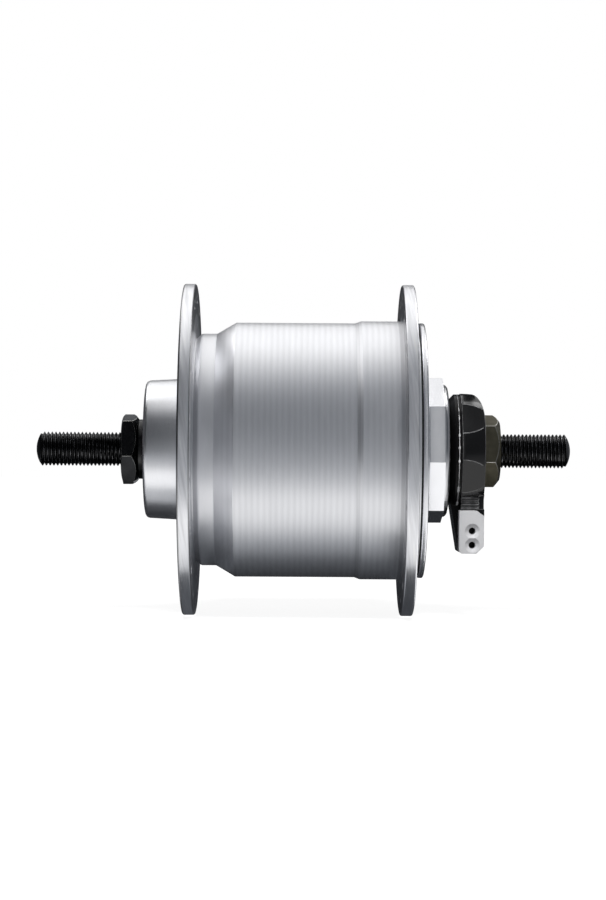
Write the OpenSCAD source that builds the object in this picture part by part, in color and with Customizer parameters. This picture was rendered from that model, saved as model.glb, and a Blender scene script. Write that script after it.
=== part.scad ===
// Front hub dynamo: a claw-pole generator inside a turned aluminium bicycle hub.
// Millimetres. X runs along the axle, Z is up and the lamp plug faces -Y.
// The origin is the middle of the axle. Stations along the axle, named x_..., are
// measured from the outer face of the left locknut, and names ending in _r are radii.

/* [Axle] */
// Outside diameter of the axle thread
axle_d = 9; // [8.8:0.1:9.2]
// Bare thread outside the left locknut
left_out = 22.8; // [18:0.2:28]
// Bare thread outside the right locknut
right_out = 18.9; // [14:0.2:26]
// Width of both locknuts across the flats
nut_af = 17; // [16:0.5:18]

/* [Shell] */
// Outside diameter of the spoke flanges
flange_d = 87.8; // [86:0.2:92]
// Thickness of a spoke flange
flange_t = 3.2; // [2.8:0.1:3.4]
// Outside diameter of the barrel between the flanges
barrel_d = 67.4; // [66.4:0.2:68]
// Wall of the barrel
barrel_wall = 2.4; // [2:0.1:2.6]
// Width of the octagon on the end cap across its flats
octagon_af = 36; // [35:0.5:37]

/* [Spokes] */
// Spoke holes in each flange
spoke_count = 18; // [14:1:20]
// Distance from a flange's rim to the spoke hole circle
spoke_rim = 3.9; // [3.4:0.1:4.9]
// Diameter of a spoke hole
spoke_hole_d = 2.6; // [2.2:0.1:3]

/* [Bearings] */
// Diameter of a bearing ball
ball_d = 4.762; // [4.6:0.01:4.8]
// Balls in each bearing
ball_count = 10; // [8:1:10]

/* [Generator] */
// Claws on each of the two claw plates
claw_count = 14; // [10:1:14]
// Gap between the claws and the magnets
air_gap = 0.5; // [0.4:0.05:0.8]
// Thickness of the magnet arcs
magnet_t = 2.4; // [2:0.1:2.8]

/* [Plug] */
// Diameter of a wire hole in the plug
wire_hole_d = 1.8; // [1.4:0.1:2]
// Distance between the two wire holes
wire_pitch = 3.7; // [3.4:0.1:3.8]

/* [Hidden] */
$fn = 96;

// Fits: press is between pieces that stay together, free is between pieces that move
press = 0.03;
free = 0.3;
// Extra length of a cutter beyond the surface it cuts
over = 1;

// Distance over the locknuts and the place of the left locknut's face
old = 100;
axle_len = left_out + old + right_out;
x_left = left_out - axle_len / 2;

// Axle: bare thread with domed ends, thread under the nuts at its pitch radius, plain middle
axle_r = axle_d / 2;
thread_depth = 0.32;
engaged_r = axle_r - thread_depth;
middle_rise = 0.5;
middle_r = axle_r + middle_rise;
x_middle_a = 18.2;
x_middle_b = 75.4;
dome_r = 7.8;
dome_angle = asin(axle_r / dome_r);
dome_steps = 6;

// Locknuts: the large bevel faces in on the left nut and out on the right one
nut_corner_r = nut_af / 2 / cos(30);
left_nut_t = 4.55;
right_nut_t = 4.5;
nut_bevel = 1.6;
nut_bevel_small = 0.5;
nut_bevel_rise = 2;
nut_mouth = 0.3;
left_nut_turn = 19;
right_nut_turn = 12.4;
washer_t = 1.2;
washer_r = 7.9;

// Bearings, laid out by the ball plane and the distance outboard of it
ball_r = ball_d / 2;
race_room = 0.07;
race_r = ball_r + race_room;
pitch_r = 9.5;
cup_lip_room = 0.05;
cup_lip_r = pitch_r + race_r + cup_lip_room;
x_left_balls = 11.55;
x_right_balls = 81.4;
cone_nose_r = pitch_r - race_r;
cone_nose = 2.2;
cone_nose_bevel = 0.4;
cone_shoulder_in = 0.9;
cone_shoulder_r = pitch_r - cone_shoulder_in;
cone_shoulder = 3.8;
cone_step = 1.2;
cone_neck_r = cone_shoulder_r - cone_step;
left_cone_end = x_left_balls - left_nut_t - washer_t;
right_cone_end = 5;
cup_wall = 1.199;
cup_r = cup_lip_r + cup_wall;
cup_bore_in = 0.4;
cup_bore_r = pitch_r - cup_bore_in;
cup_floor = 3.5;
cup_lip = 3.4;
cage_ring_in = 2.6;
cage_ring_out = 3.6;
cage_ring_below = 0.3;
cage_ring_above = 1.9;
cage_ring_r = [pitch_r - cage_ring_below, pitch_r + cage_ring_above];
ball_gap = 2 * pitch_r * sin(180 / ball_count) - ball_d;
cage_finger_room = 0.2046614;
cage_finger = [ball_gap - 2 * cage_finger_room, 1.2, 3.8];
dust_cap_in = 4;
dust_cap_out = 4.7;
dust_cap_room = 0.35;
dust_cap_r = cone_shoulder_r + dust_cap_room;
dust_skirt_t = 0.8;
seal_lip = 0.05;
seal_lip_r = cone_shoulder_r + seal_lip;
seal_wall = 0.7;
seal_root_r = cone_neck_r + seal_wall;

// Shell, from the left boss to the right flange
flange_r = flange_d / 2;
flange_edge = 0.5;
spoke_circle_r = flange_r - spoke_rim;
barrel_r = barrel_d / 2;
bore_r = barrel_r - barrel_wall;
boss_r = [18.2, 18.75];
boss_edge = 1.2;
x_boss = 6.35;
x_left_flange = 16.4;
neck_drop = 2.95;
neck_r = barrel_r - neck_drop;
neck_bevel = [1.1, 1.3];
neck_groove = 0.3;
flange_root = 1;
neck_wall = 2.4;
neck_bore_r = neck_r - neck_wall;
x_neck = 25.15;
x_cone = 30.15;
x_step_a = 61.65;
x_step_b = 63.15;
step_rise = 0.55;
x_right_flange = 73.85;
x_shell_end = x_right_flange + flange_t;
lip_t = 0.9;
lip_drop = 0.4;
lip_r = barrel_r - lip_drop;
x_web = 19.45;
x_shoulder = 31.05;
web_bore_r = 8.9;
web_lap = 1;

// End cap: threaded spigot, thin disc, octagon and round boss
x_disc = 78.4;
disc_t = 1.4;
disc_rise = 0.1;
disc_r = barrel_r + disc_rise;
disc_edge = 0.4;
x_octagon = 80.75;
octagon_t = 4.1;
octagon_turn = 8.8;
octagon_corner_r = octagon_af / 2 / cos(22.5);
octagon_bevel = 0.25;
octagon_rise = 0.4;
cap_boss_r = 17.6;
cap_boss_edge = 1.2;
cap_neck_r = 17.3;
x_cap_end = 86.1;
cap_web_t = 1.35;
x_cap_web = x_right_balls - cup_floor - cap_web_t;
spigot_wall = 2.4;
x_spigot = 69;
seal_drop = 0.7;
seal_r = barrel_r - seal_drop;

// Generator: magnets and yoke in the shell, claws and coil on the axle
x_stack = 32.05;
stack_len = 26;
yoke_t = 1.45;
yoke_over = 1;
yoke_r = bore_r - press;
magnet_r = yoke_r - yoke_t - press;
magnet_arcs = 4;
magnet_gap_angle = 2;
claw_r = magnet_r - magnet_t - air_gap;
claw_t = 2.6;
plate_t = 3;
claw_lap = 0.3;
plate_r = claw_r - claw_t + claw_lap;
claw_tip_gap = 1.2;
claw_pitch = 2 * PI * claw_r / (2 * claw_count);
claw_root_w = 0.74 * claw_pitch;
claw_tip_w = 0.5 * claw_pitch;
stator_bore_r = middle_r + press;
core_r = 11;
bobbin_wall = 1.2;
bobbin_room = 0.7;
bobbin_r = claw_r - claw_t - bobbin_room;
coil_drop = 0.8;
coil_r = bobbin_r - coil_drop;
clamp_nut_af = 15;
clamp_nut_t = 4;

// Lead: out of the coil, down to the groove in the axle and out to the live contact
lead_r = 0.55;
lead_turn = 31;
lead_coil_r = 13.5;
lead_sink = 1.05;
lead_axle_r = axle_r - lead_sink;
lead_end_r = 12.6;
lead_past_nut = 2.95;
x_lead_drop = x_stack + stack_len + clamp_nut_t + lead_past_nut;
x_lead_rise = 93;
lead_room = 0.25;
lead_slot_floor = lead_axle_r - lead_r - lead_room;

// Connector: rear cover, housing and socket, in Y from front to back
back_room = 0.05;
x_back = x_right_balls + right_cone_end + back_room;
back_t = 2.9;
housing_r = 15.2;
back_lip = 0.2;
back_r = housing_r - back_lip;
back_bevel = [1.35, 1.4];
tongue_drop = 1;
tongue_tip_t = 0.25;
seam = 0.1;
x_housing = x_back + back_t + seam;
x_housing_end = old - right_nut_t;
housing_crown = 0.55;
corner_len = 3.4;
corner_drop = 7.4;
bush_r = 7;
bush_room = 0.08;
bush_hole_r = bush_r + bush_room;
facets = [[35.8, 36], [-27.4, 37]];
neck_front = 9;
neck_top = 9;
neck_low = 15.35;
rib_count = 4;
rib_w = 0.5;
rib_pitch = 0.95;
rib_depth = 0.35;
rib_span = 4.6;
rib_start = 0.4;
neck_w = 6;
collar_w = 6.5;
collar_low = 17.3;
socket_w = 5.4;
socket_cut = 0.9;
socket_cut_in = 0.5;
socket_front = 4.4;
socket_back = 9;
socket_low = 26.7;
socket_wall = 0.5;
socket_floor = 6.5;
contact_t = 0.6;
contact_w = 2.2;
contact_tip = 0;
strap_w = 1.3;
live_w = 1.5;
contact_room = 0.1;
ground_ring_r = 9.8;
strap_drop = 0.5;
strap_top = ground_ring_r / 2 + strap_drop;

// Plug, which slides out towards -Y
plug_front = 9.6;
plug_w = 6.5;
plug_high = 15.6;
plug_low = 26.9;
socket_drop = 0.5;
socket_top = plug_high + socket_drop;
plug_lip = 0.45;
plug_x = x_housing - plug_lip;
plug_bevel_top = [2.0, 1.4];
plug_bevel_low = [2.0, 1.9];
plug_round = 0.9;
wire_in = 3;
wire_x = x_housing + wire_in;
wire_rise = 0.25;
wire_z = wire_rise - (plug_high + plug_low) / 2;
wire_sink_r = 1.95;
wire_floor_r = 1.45;
wire_sink = 0.6;
wire_len = 8.5;
slot_room = 0.3;

// A revolved shape: the outline's first coordinate is the radius, its second the station
module lathe() {
  translate([x_left, 0, 0]) rotate([0, 90, 0]) rotate_extrude() children();
}

// Outline of a plain ring
module ring(xa, xb, ra, rb) {
  translate([ra, xa]) square([rb - ra, xb - xa]);
}

// Outline of a ring whose two outer corners are rounded
module soft_ring(xa, xb, ra, rb, edge) {
  ring(xa, xb, ra, rb - edge);
  ring(xa + edge, xb - edge, ra, rb);
  for (x = [xa + edge, xb - edge]) translate([rb - edge, x]) circle(edge);
}

// Block between two corners in X stations, Y and Z
module block(xs, ys, zs) {
  translate([x_left + xs[0], ys[0], zs[0]])
    cube([xs[1] - xs[0], ys[1] - ys[0], zs[1] - zs[0]]);
}

// Block like that, with its lower outboard corner cut off
module cut_block(xs, ys, zs, cut) {
  translate([x_left, ys[1], 0]) rotate([90, 0, 0]) linear_extrude(height = ys[1] - ys[0])
    polygon([
      [xs[0], zs[0]], [xs[1] - cut, zs[0]], [xs[1], zs[0] + cut], [xs[1], zs[1]], [xs[0], zs[1]]
    ]);
}

// Rod along X between two stations
module rod(xa, xb, r) {
  translate([x_left + xa, 0, 0]) rotate([0, 90, 0]) cylinder(r = r, h = xb - xa);
}

// Outline turned outboard of a ball plane: the second coordinate counts outboard
module outboard(x_balls, left) {
  translate([0, x_balls]) mirror([0, left ? 1 : 0]) children();
}

// Everything on the axle

// Domed ends of the axle: radius and distance from the tip at each step
function dome_rim(i) = dome_r * sin(dome_angle * i / dome_steps);
function dome_rise(i) = dome_r * (1 - cos(dome_angle * i / dome_steps));

module axle() {
  color("#26262a") difference() {
    lathe() {
      polygon([
        for (i = [0 : dome_steps]) [dome_rim(i), dome_rise(i) - left_out],
        [axle_r, 0], [engaged_r, 0], [engaged_r, x_middle_a],
        [middle_r, x_middle_a], [middle_r, x_middle_b],
        [engaged_r, x_middle_b], [engaged_r, old], [axle_r, old],
        for (i = [dome_steps : -1 : 0]) [dome_rim(i), old + right_out - dome_rise(i)]
      ]);
    }
    rotate([lead_turn, 0, 0])
      block(
        [x_lead_drop - lead_r - lead_room, x_lead_rise + lead_r + lead_room],
        [-lead_r - lead_room, lead_r + lead_room],
        [-middle_r - over, -lead_slot_floor]
      );
  }
}

// Hexagon nut on the thread, bevelled at both ends
module locknut(xa, xb, bevel_a, bevel_b, turn) {
  mouth_r = axle_r + nut_mouth;
  reach = 1 + over / nut_bevel_rise;
  intersection() {
    rotate([-turn, 0, 0]) translate([x_left + xa, 0, 0]) rotate([0, 90, 0])
      cylinder(r = nut_corner_r, h = xb - xa, $fn = 6);
    lathe() polygon([
      [mouth_r, xa], [nut_corner_r - nut_bevel_rise, xa],
      [nut_corner_r + over, xa + bevel_a * reach], [nut_corner_r + over, xb - bevel_b * reach],
      [nut_corner_r - nut_bevel_rise, xb], [mouth_r, xb],
      [engaged_r + press, xb - mouth_r + engaged_r], [engaged_r + press, xa + mouth_r - engaged_r]
    ]);
  }
}

module left_locknut() {
  color("#202023") locknut(0, left_nut_t, nut_bevel_small, nut_bevel, left_nut_turn);
}

module right_locknut() {
  color("#4a463a") locknut(x_housing_end, old, nut_bevel_small, nut_bevel, right_nut_turn);
}

module left_washer() {
  color("#202023") lathe() ring(left_nut_t, left_nut_t + washer_t, engaged_r + press, washer_r);
}

// Bearing cone: seal seat, shoulder, race and nose
module bearing_cone(x_balls, left, end) {
  color("#8d9196") lathe() outboard(x_balls, left) difference() {
    polygon([
      [engaged_r + press, end], [cone_neck_r, end], [cone_neck_r, cone_shoulder],
      [cone_shoulder_r, cone_shoulder], [cone_shoulder_r, 0], [cone_nose_r, 0],
      [cone_nose_r, cone_nose_bevel - cone_nose], [cone_nose_r - cone_nose_bevel, -cone_nose],
      [engaged_r + press, -cone_nose]
    ]);
    translate([pitch_r, 0]) circle(race_r);
  }
}

module left_cone() bearing_cone(x_left_balls, true, left_cone_end);
module right_cone() bearing_cone(x_right_balls, false, right_cone_end);

// Rubber lip on a cone, flared towards the dust cap
module cone_seal(x_balls, left, end) {
  color("#18181a") lathe() outboard(x_balls, left) polygon([
    [cone_neck_r + press, cone_shoulder + press], [seal_lip_r, cone_shoulder + press],
    [seal_lip_r, dust_cap_out], [seal_root_r, end], [cone_neck_r + press, end]
  ]);
}

module left_cone_seal() cone_seal(x_left_balls, true, left_cone_end - press);
module right_cone_seal() cone_seal(x_right_balls, false, right_cone_end - press);

// Stator

module clamp_nut(xa) {
  color("#8d9196") difference() {
    translate([x_left + xa, 0, 0]) rotate([0, 90, 0])
      cylinder(d = clamp_nut_af / cos(30), h = clamp_nut_t, $fn = 6);
    rod(xa - over, xa + clamp_nut_t + over, stator_bore_r);
  }
}

module left_clamp_nut() clamp_nut(x_stack - clamp_nut_t);
module right_clamp_nut() clamp_nut(x_stack + stack_len);

// Plate whose tapering claws reach along the stack, drawn for the left side
module claw_plate() {
  claw_len = stack_len - plate_t - claw_tip_gap;
  claw_outline = [
    [0, -claw_root_w / 2], [plate_t, -claw_root_w / 2], [claw_len, -claw_tip_w / 2],
    [claw_len, claw_tip_w / 2], [plate_t, claw_root_w / 2], [0, claw_root_w / 2]
  ];
  rotate([0, 90, 0]) rotate_extrude() ring(0, plate_t, stator_bore_r, plate_r);
  intersection() {
    rotate([0, 90, 0]) rotate_extrude() ring(0, claw_len, claw_r - claw_t, claw_r);
    for (i = [0 : claw_count - 1])
      rotate([i * 360 / claw_count, 0, 0])
        linear_extrude(height = claw_r + over) polygon(claw_outline);
  }
}

module left_claw_plate() {
  color("#6d7075") translate([x_left + x_stack, 0, 0]) claw_plate();
}

module right_claw_plate() {
  color("#6d7075") difference() {
    translate([x_left + x_stack + stack_len, 0, 0])
      rotate([180 / claw_count, 0, 0]) mirror([1, 0, 0]) claw_plate();
    lead_bore(x_stack + plate_t, x_stack + stack_len + over);
  }
}

module core_tube() {
  color("#6d7075") lathe()
    ring(x_stack + plate_t, x_stack + stack_len - plate_t, stator_bore_r, core_r);
}

module bobbin() {
  xa = x_stack + plate_t;
  xb = x_stack + stack_len - plate_t;
  color("#d8d2c0") difference() {
    lathe() {
      ring(xa, xb, core_r + press, core_r + press + bobbin_wall);
      ring(xa, xa + bobbin_wall, core_r + press, bobbin_r);
      ring(xb - bobbin_wall, xb, core_r + press, bobbin_r);
    }
    lead_bore(xb - bobbin_wall - over, xb + over);
  }
}

module coil() {
  gap = bobbin_wall + press;
  xa = x_stack + plate_t + gap;
  xb = x_stack + stack_len - plate_t - gap;
  color("#b06a2c") lathe() ring(xa, xb, core_r + 2 * press + bobbin_wall, coil_r);
}

// Hole for the lead in the pieces that it passes on its way out of the coil
module lead_bore(xa, xb) {
  rotate([lead_turn, 0, 0]) translate([0, 0, -lead_coil_r]) rod(xa, xb, lead_r + lead_room);
}

module coil_lead() {
  xa = x_stack + stack_len - plate_t - bobbin_wall;
  route = [
    [xa, lead_coil_r], [x_lead_drop, lead_coil_r], [x_lead_drop, lead_axle_r],
    [x_lead_rise, lead_axle_r], [x_lead_rise, lead_end_r]
  ];
  color("#b8312a") rotate([lead_turn, 0, 0]) {
    for (i = [0 : 2 : 2])
      translate([0, 0, -route[i][1]]) rod(route[i][0], route[i + 1][0], lead_r);
    for (i = [1 : 2 : 3])
      translate([x_left + route[i][0], 0, -max(route[i][1], route[i + 1][1])])
        cylinder(r = lead_r, h = abs(route[i][1] - route[i + 1][1]));
    for (i = [1 : 3])
      translate([x_left + route[i][0], 0, -route[i][1]]) sphere(lead_r);
  }
}

// Connector

module connector_bush() {
  color("#8d9196") difference() {
    lathe() ring(x_right_balls + right_cone_end, x_housing_end, engaged_r + press, bush_r);
    lead_exit(bush_r + over);
  }
}

// Channel for the lead on its way out from the axle
module lead_exit(reach) {
  rotate([lead_turn, 0, 0]) translate([x_left + x_lead_rise, 0, -reach])
    cylinder(r = lead_r + lead_room, h = reach);
}

module connector_back() {
  tongue = [
    [x_back, -neck_top], [x_back, -neck_top - tongue_drop], [x_back + back_t - tongue_tip_t, -socket_low],
    [x_back + back_t, -socket_low], [x_back + back_t, -neck_top]
  ];
  color("#141416") difference() {
    union() {
      lathe() polygon([
        [bush_hole_r, x_back], [back_r - back_bevel[1], x_back], [back_r, x_back + back_bevel[0]],
        [back_r, x_back + back_t], [bush_hole_r, x_back + back_t]
      ]);
      translate([x_left, socket_back, 0]) rotate([90, 0, 0])
        linear_extrude(height = socket_back + socket_front) polygon(tongue);
    }
    rod(x_back - over, x_back + back_t + over, bush_hole_r);
  }
}

// Solid of the housing without its hollows: round body with flats, ribbed neck and socket
module housing_body() {
  rib_low = rib_start - neck_low;
  difference() {
    lathe() polygon([
      [bush_hole_r, x_housing],
      for (t = [0 : 0.125 : 1])
        [housing_r - housing_crown * t * t, x_housing + t * (x_housing_end - x_housing)],
      [bush_hole_r, x_housing_end]
    ]);
    translate([x_left, housing_r + over, 0]) rotate([90, 0, 0])
      linear_extrude(height = 2 * (housing_r + over)) polygon([
        for (a = [0 : 10 : 90])
          [x_housing_end - corner_len * (1 - sin(a)), housing_r - corner_drop * (1 - cos(a))],
        [x_housing_end + over, housing_r - corner_drop], [x_housing_end + over, housing_r + over],
        [x_housing_end - corner_len, housing_r + over]
      ]);
    for (f = facets)
      rotate([-f[0], 0, 0])
        block(
          [x_housing - over, x_housing_end + over],
          [-housing_r - over, -housing_r * cos(f[1] / 2)],
          [-housing_r, housing_r]
        );
  }
  difference() {
    block([x_housing, x_housing + neck_w], [-neck_front, socket_back], [-neck_low, -neck_top]);
    for (i = [0 : rib_count - 1])
      block(
        [x_housing - over, x_housing + rib_span], [-neck_front - over, rib_depth - neck_front],
        [rib_low + i * rib_pitch, rib_low + i * rib_pitch + rib_w]
      );
  }
  block([x_housing, x_housing + collar_w], [-socket_front, socket_back], [-collar_low, -neck_low]);
  cut_block(
    [x_housing, x_housing + socket_w], [-socket_front, socket_back], [-socket_low, -neck_low],
    socket_cut
  );
}

module connector_housing() {
  inner = x_housing + socket_wall;
  outer = x_housing + socket_w - socket_wall;
  color("#101012") difference() {
    housing_body();
    rod(x_housing - over, x_housing_end + over, bush_hole_r);
    rod(x_housing - over, x_housing + contact_t + contact_room, ground_ring_r + contact_room);
    cut_block(
      [inner, outer], [-socket_front - over, socket_floor], [-socket_low + socket_wall, -socket_top],
      socket_cut_in
    );
    block(
      [x_housing - over, wire_x + contact_w / 2 + contact_room],
      [socket_floor - contact_room, socket_floor + contact_t + contact_room],
      [wire_z - wire_pitch - contact_t, -ground_ring_r / 2]
    );
    lead_exit(lead_end_r + lead_room);
  }
}

// Blade in the socket, which the plug's wire meets
module contact_blade(z, xa) {
  block(
    [xa, wire_x + contact_w / 2], [socket_floor, socket_floor + contact_t],
    [z - contact_t / 2, z + contact_t / 2]
  );
  block(
    [wire_x - contact_w / 2, wire_x + contact_w / 2], [contact_tip, socket_floor + contact_t],
    [z - contact_t / 2, z + contact_t / 2]
  );
}

module live_contact() {
  riser_x = wire_x + contact_w / 2 - live_w;
  color("#c8a24a") {
    contact_blade(wire_z, riser_x);
    block(
      [riser_x, riser_x + live_w], [socket_floor, socket_floor + contact_t],
      [wire_z, -lead_end_r * cos(lead_turn)]
    );
  }
}

module ground_contact() {
  color("#c8a24a") {
    contact_blade(wire_z - wire_pitch, x_housing);
    block(
      [x_housing, x_housing + strap_w], [socket_floor, socket_floor + contact_t],
      [wire_z - wire_pitch, -strap_top]
    );
    difference() {
      rod(x_housing, x_housing + contact_t, ground_ring_r);
      rod(x_housing - over, x_housing + contact_t + over, bush_hole_r);
    }
  }
}

// Everything that turns with the wheel

// Spoke holes of one flange
module spoke_holes(xa, turn) {
  for (i = [0 : spoke_count - 1])
    rotate([turn + i * 360 / spoke_count, 0, 0])
      translate([0, 0, spoke_circle_r])
        rod(xa - over, xa + flange_t + over, spoke_hole_d / 2);
}

module hub_shell() {
  x_flange_in = x_left_flange + flange_t;
  color("#c9cbce") difference() {
    lathe() {
      polygon([
        [cup_r + press, x_boss], [boss_r[0] - boss_edge, x_boss], [boss_r[0], x_boss + boss_edge],
        [boss_r[1], x_left_flange], [neck_r - neck_bevel[0], x_left_flange],
        [neck_r - neck_bevel[0], x_flange_in + neck_groove],
        [neck_r, x_flange_in + neck_groove + neck_bevel[1]], [neck_r, x_neck],
        [barrel_r, x_cone], [barrel_r, x_step_a], [barrel_r + step_rise, x_step_b],
        [barrel_r + step_rise, x_shell_end], [lip_r, x_shell_end], [lip_r, x_shell_end + lip_t],
        [bore_r, x_shell_end + lip_t], [bore_r, x_shoulder],
        [neck_bore_r, x_shoulder], [neck_bore_r, x_web], [web_bore_r, x_web],
        [web_bore_r, x_left_balls + cup_floor], [cup_r + press, x_left_balls + cup_floor]
      ]);
      translate([boss_r[0] - boss_edge, x_boss + boss_edge]) circle(boss_edge);
      soft_ring(x_left_flange, x_flange_in, boss_r[0], flange_r, flange_edge);
      soft_ring(x_right_flange, x_shell_end, barrel_r - flange_root, flange_r, flange_edge);
    }
    spoke_holes(x_left_flange, 0);
    spoke_holes(x_right_flange, 180 / spoke_count);
  }
}

// Bearing cup, open outboard
module bearing_cup(x_balls, left) {
  color("#8d9196") lathe() outboard(x_balls, left) difference() {
    polygon([
      [cup_bore_r, 0], [cup_bore_r, -cup_floor], [cup_r, -cup_floor], [cup_r, cup_lip],
      [cup_lip_r, cup_lip], [cup_lip_r, 0]
    ]);
    translate([pitch_r, 0]) circle(race_r);
  }
}

module left_cup() bearing_cup(x_left_balls, true);
module right_cup() bearing_cup(x_right_balls, false);

module dust_cap(x_balls, left) {
  color("#a5a8ac") lathe() outboard(x_balls, left) {
    ring(dust_cap_in, dust_cap_out, dust_cap_r, cup_r);
    ring(cup_lip + press, dust_cap_out, cup_r - dust_skirt_t, cup_r);
  }
}

module left_dust_cap() dust_cap(x_left_balls, true);
module right_dust_cap() dust_cap(x_right_balls, false);

module yoke_ring() {
  color("#5d6064") lathe()
    ring(x_shoulder, x_shoulder + stack_len + 2 * yoke_over, yoke_r - yoke_t, yoke_r);
}

module magnet(i) {
  arc = 360 / magnet_arcs - magnet_gap_angle;
  color("#3a3a3e") translate([x_left, 0, 0])
    rotate([i * 360 / magnet_arcs, 0, 0]) rotate([0, 90, 0])
      rotate_extrude(angle = arc) ring(x_stack, x_stack + stack_len, magnet_r - magnet_t, magnet_r);
}

module end_cap() {
  x_octagon_end = x_octagon + octagon_t;
  reach = 1 + over / octagon_rise;
  color("#cfd1d4") {
    lathe() {
      ring(x_spigot, x_disc, bore_r - press - spigot_wall, bore_r - press);
      ring(x_cap_web, x_disc + disc_t, cup_r + press, bore_r - press);
      ring(x_cap_web, x_right_balls - cup_floor, web_bore_r, cup_r + web_lap);
      soft_ring(x_disc, x_disc + disc_t, cup_r + press, disc_r, disc_edge);
      ring(x_disc, x_octagon_end, cup_r + press, cap_neck_r);
      soft_ring(x_octagon, x_cap_end, cup_r + press, cap_boss_r, cap_boss_edge);
    }
    intersection() {
      rotate([octagon_turn, 0, 0]) translate([x_left + x_octagon, 0, 0]) rotate([0, 90, 0])
        cylinder(r = octagon_corner_r, h = octagon_t, $fn = 8);
      lathe() polygon([
        [cup_r + press, x_octagon], [octagon_corner_r + over, x_octagon],
        [octagon_corner_r + over, x_octagon_end - octagon_bevel * reach],
        [octagon_corner_r - octagon_rise, x_octagon_end], [cup_r + press, x_octagon_end]
      ]);
    }
  }
}

module cap_seal() {
  color("#1c1c1e") lathe() ring(x_shell_end + lip_t, x_disc, bore_r, seal_r);
}

// Ball sets

module balls(x_balls) {
  color("#d5d8dc") for (i = [0 : ball_count - 1])
    rotate([i * 360 / ball_count, 0, 0])
      translate([x_left + x_balls, 0, pitch_r]) sphere(ball_r);
}

module left_balls() balls(x_left_balls);
module right_balls() balls(x_right_balls);

// Ball retainer: a ring outboard of the balls, with a finger between each pair
module cage(x_balls, left) {
  side = left ? -1 : 1;
  color("#b9a56a") {
    lathe() outboard(x_balls, left)
      ring(cage_ring_in, cage_ring_out, cage_ring_r[0], cage_ring_r[1]);
    for (i = [0 : ball_count - 1])
      rotate([(i + 0.5) * 360 / ball_count, 0, 0])
        translate([x_left + x_balls + side * (cage_ring_out - cage_finger[2] / 2), 0, pitch_r])
          cube([cage_finger[2], cage_finger[0], cage_finger[1]], center = true);
  }
}

module left_cage() cage(x_left_balls, true);
module right_cage() cage(x_right_balls, false);

// Lamp plug

module plug_cap() {
  xb = plug_x + plug_w;
  outline = [
    [plug_x, -plug_high], [xb - plug_bevel_top[0], -plug_high], [xb, -plug_high - plug_bevel_top[1]],
    [xb, -plug_low + plug_bevel_low[1]], [xb - plug_bevel_low[0], -plug_low],
    for (a = [0 : 15 : 90])
      [plug_x + plug_round * (1 - sin(a)), -plug_low + plug_round * (1 - cos(a))]
  ];
  color("#c5c5c8") difference() {
    translate([x_left, -socket_front - free / 2, 0]) rotate([90, 0, 0])
      linear_extrude(height = plug_front - socket_front - free / 2) polygon(outline);
    wire_holes();
  }
}

// Two wire holes, each in a shallow dish
module wire_holes() {
  for (i = [0, 1])
    translate([x_left + wire_x, -plug_front, wire_z - i * wire_pitch]) rotate([-90, 0, 0]) {
      translate([0, 0, -over]) cylinder(d = wire_hole_d, h = wire_len + over);
      cylinder(r1 = wire_sink_r, r2 = wire_floor_r, h = wire_sink);
    }
}

module plug_carrier() {
  color("#1a1a1c") difference() {
    cut_block(
      [x_housing + socket_wall + free, x_housing + socket_w - socket_wall - free],
      [-socket_front - free / 2, socket_floor - 2 * free],
      [-socket_low + socket_wall + free, -socket_top - free], socket_cut_in
    );
    wire_holes();
    for (i = [0, 1])
      block(
        [wire_x - contact_w / 2 - slot_room, wire_x + contact_w / 2 + slot_room],
        [contact_tip - slot_room, socket_floor],
        [
          wire_z - i * wire_pitch - contact_t / 2 - slot_room,
          wire_z - i * wire_pitch + contact_t / 2 + slot_room
        ]
      );
  }
}

axle();
left_locknut();
left_washer();
left_cone();
left_cone_seal();
left_clamp_nut();
left_claw_plate();
core_tube();
bobbin();
coil();
right_claw_plate();
right_clamp_nut();
coil_lead();
right_cone();
right_cone_seal();
connector_bush();
connector_back();
connector_housing();
live_contact();
ground_contact();
right_locknut();
hub_shell();
left_cup();
left_dust_cap();
yoke_ring();
magnet(0);  // magnet_1
magnet(1);  // magnet_2
magnet(2);  // magnet_3
magnet(3);  // magnet_4
end_cap();
cap_seal();
right_cup();
right_dust_cap();
left_balls();
left_cage();
right_balls();
right_cage();
plug_cap();
plug_carrier();
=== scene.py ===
import math

import bmesh
import bpy
from mathutils import Matrix, Vector


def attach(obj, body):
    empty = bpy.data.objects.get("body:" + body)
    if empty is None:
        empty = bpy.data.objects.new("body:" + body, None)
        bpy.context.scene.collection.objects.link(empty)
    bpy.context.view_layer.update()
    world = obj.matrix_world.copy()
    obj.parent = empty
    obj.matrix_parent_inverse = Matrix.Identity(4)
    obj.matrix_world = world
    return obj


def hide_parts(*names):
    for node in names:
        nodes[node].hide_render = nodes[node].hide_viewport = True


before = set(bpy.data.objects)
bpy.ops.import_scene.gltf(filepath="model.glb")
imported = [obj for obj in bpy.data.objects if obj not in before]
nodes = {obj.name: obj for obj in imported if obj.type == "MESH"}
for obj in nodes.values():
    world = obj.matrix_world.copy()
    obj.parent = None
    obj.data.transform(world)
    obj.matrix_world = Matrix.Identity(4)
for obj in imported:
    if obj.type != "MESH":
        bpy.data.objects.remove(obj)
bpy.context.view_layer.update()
mm = 0.001
print("frame loaded:", len(nodes), "nodes")


# Small helpers for node trees

def addNode(tree, kind, settings=None, inputs=None):
    node = tree.nodes.new(kind)
    for key, value in (settings or {}).items():
        setattr(node, key, value)
    for key, value in (inputs or {}).items():
        if isinstance(value, bpy.types.NodeSocket):
            tree.links.new(value, node.inputs[key])
        else:
            node.inputs[key].default_value = value
    return node


def mathNode(tree, operation, first, second=0.0):
    node = addNode(tree, "ShaderNodeMath", {"operation": operation}, {0: first, 1: second})
    return node.outputs[0]


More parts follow.
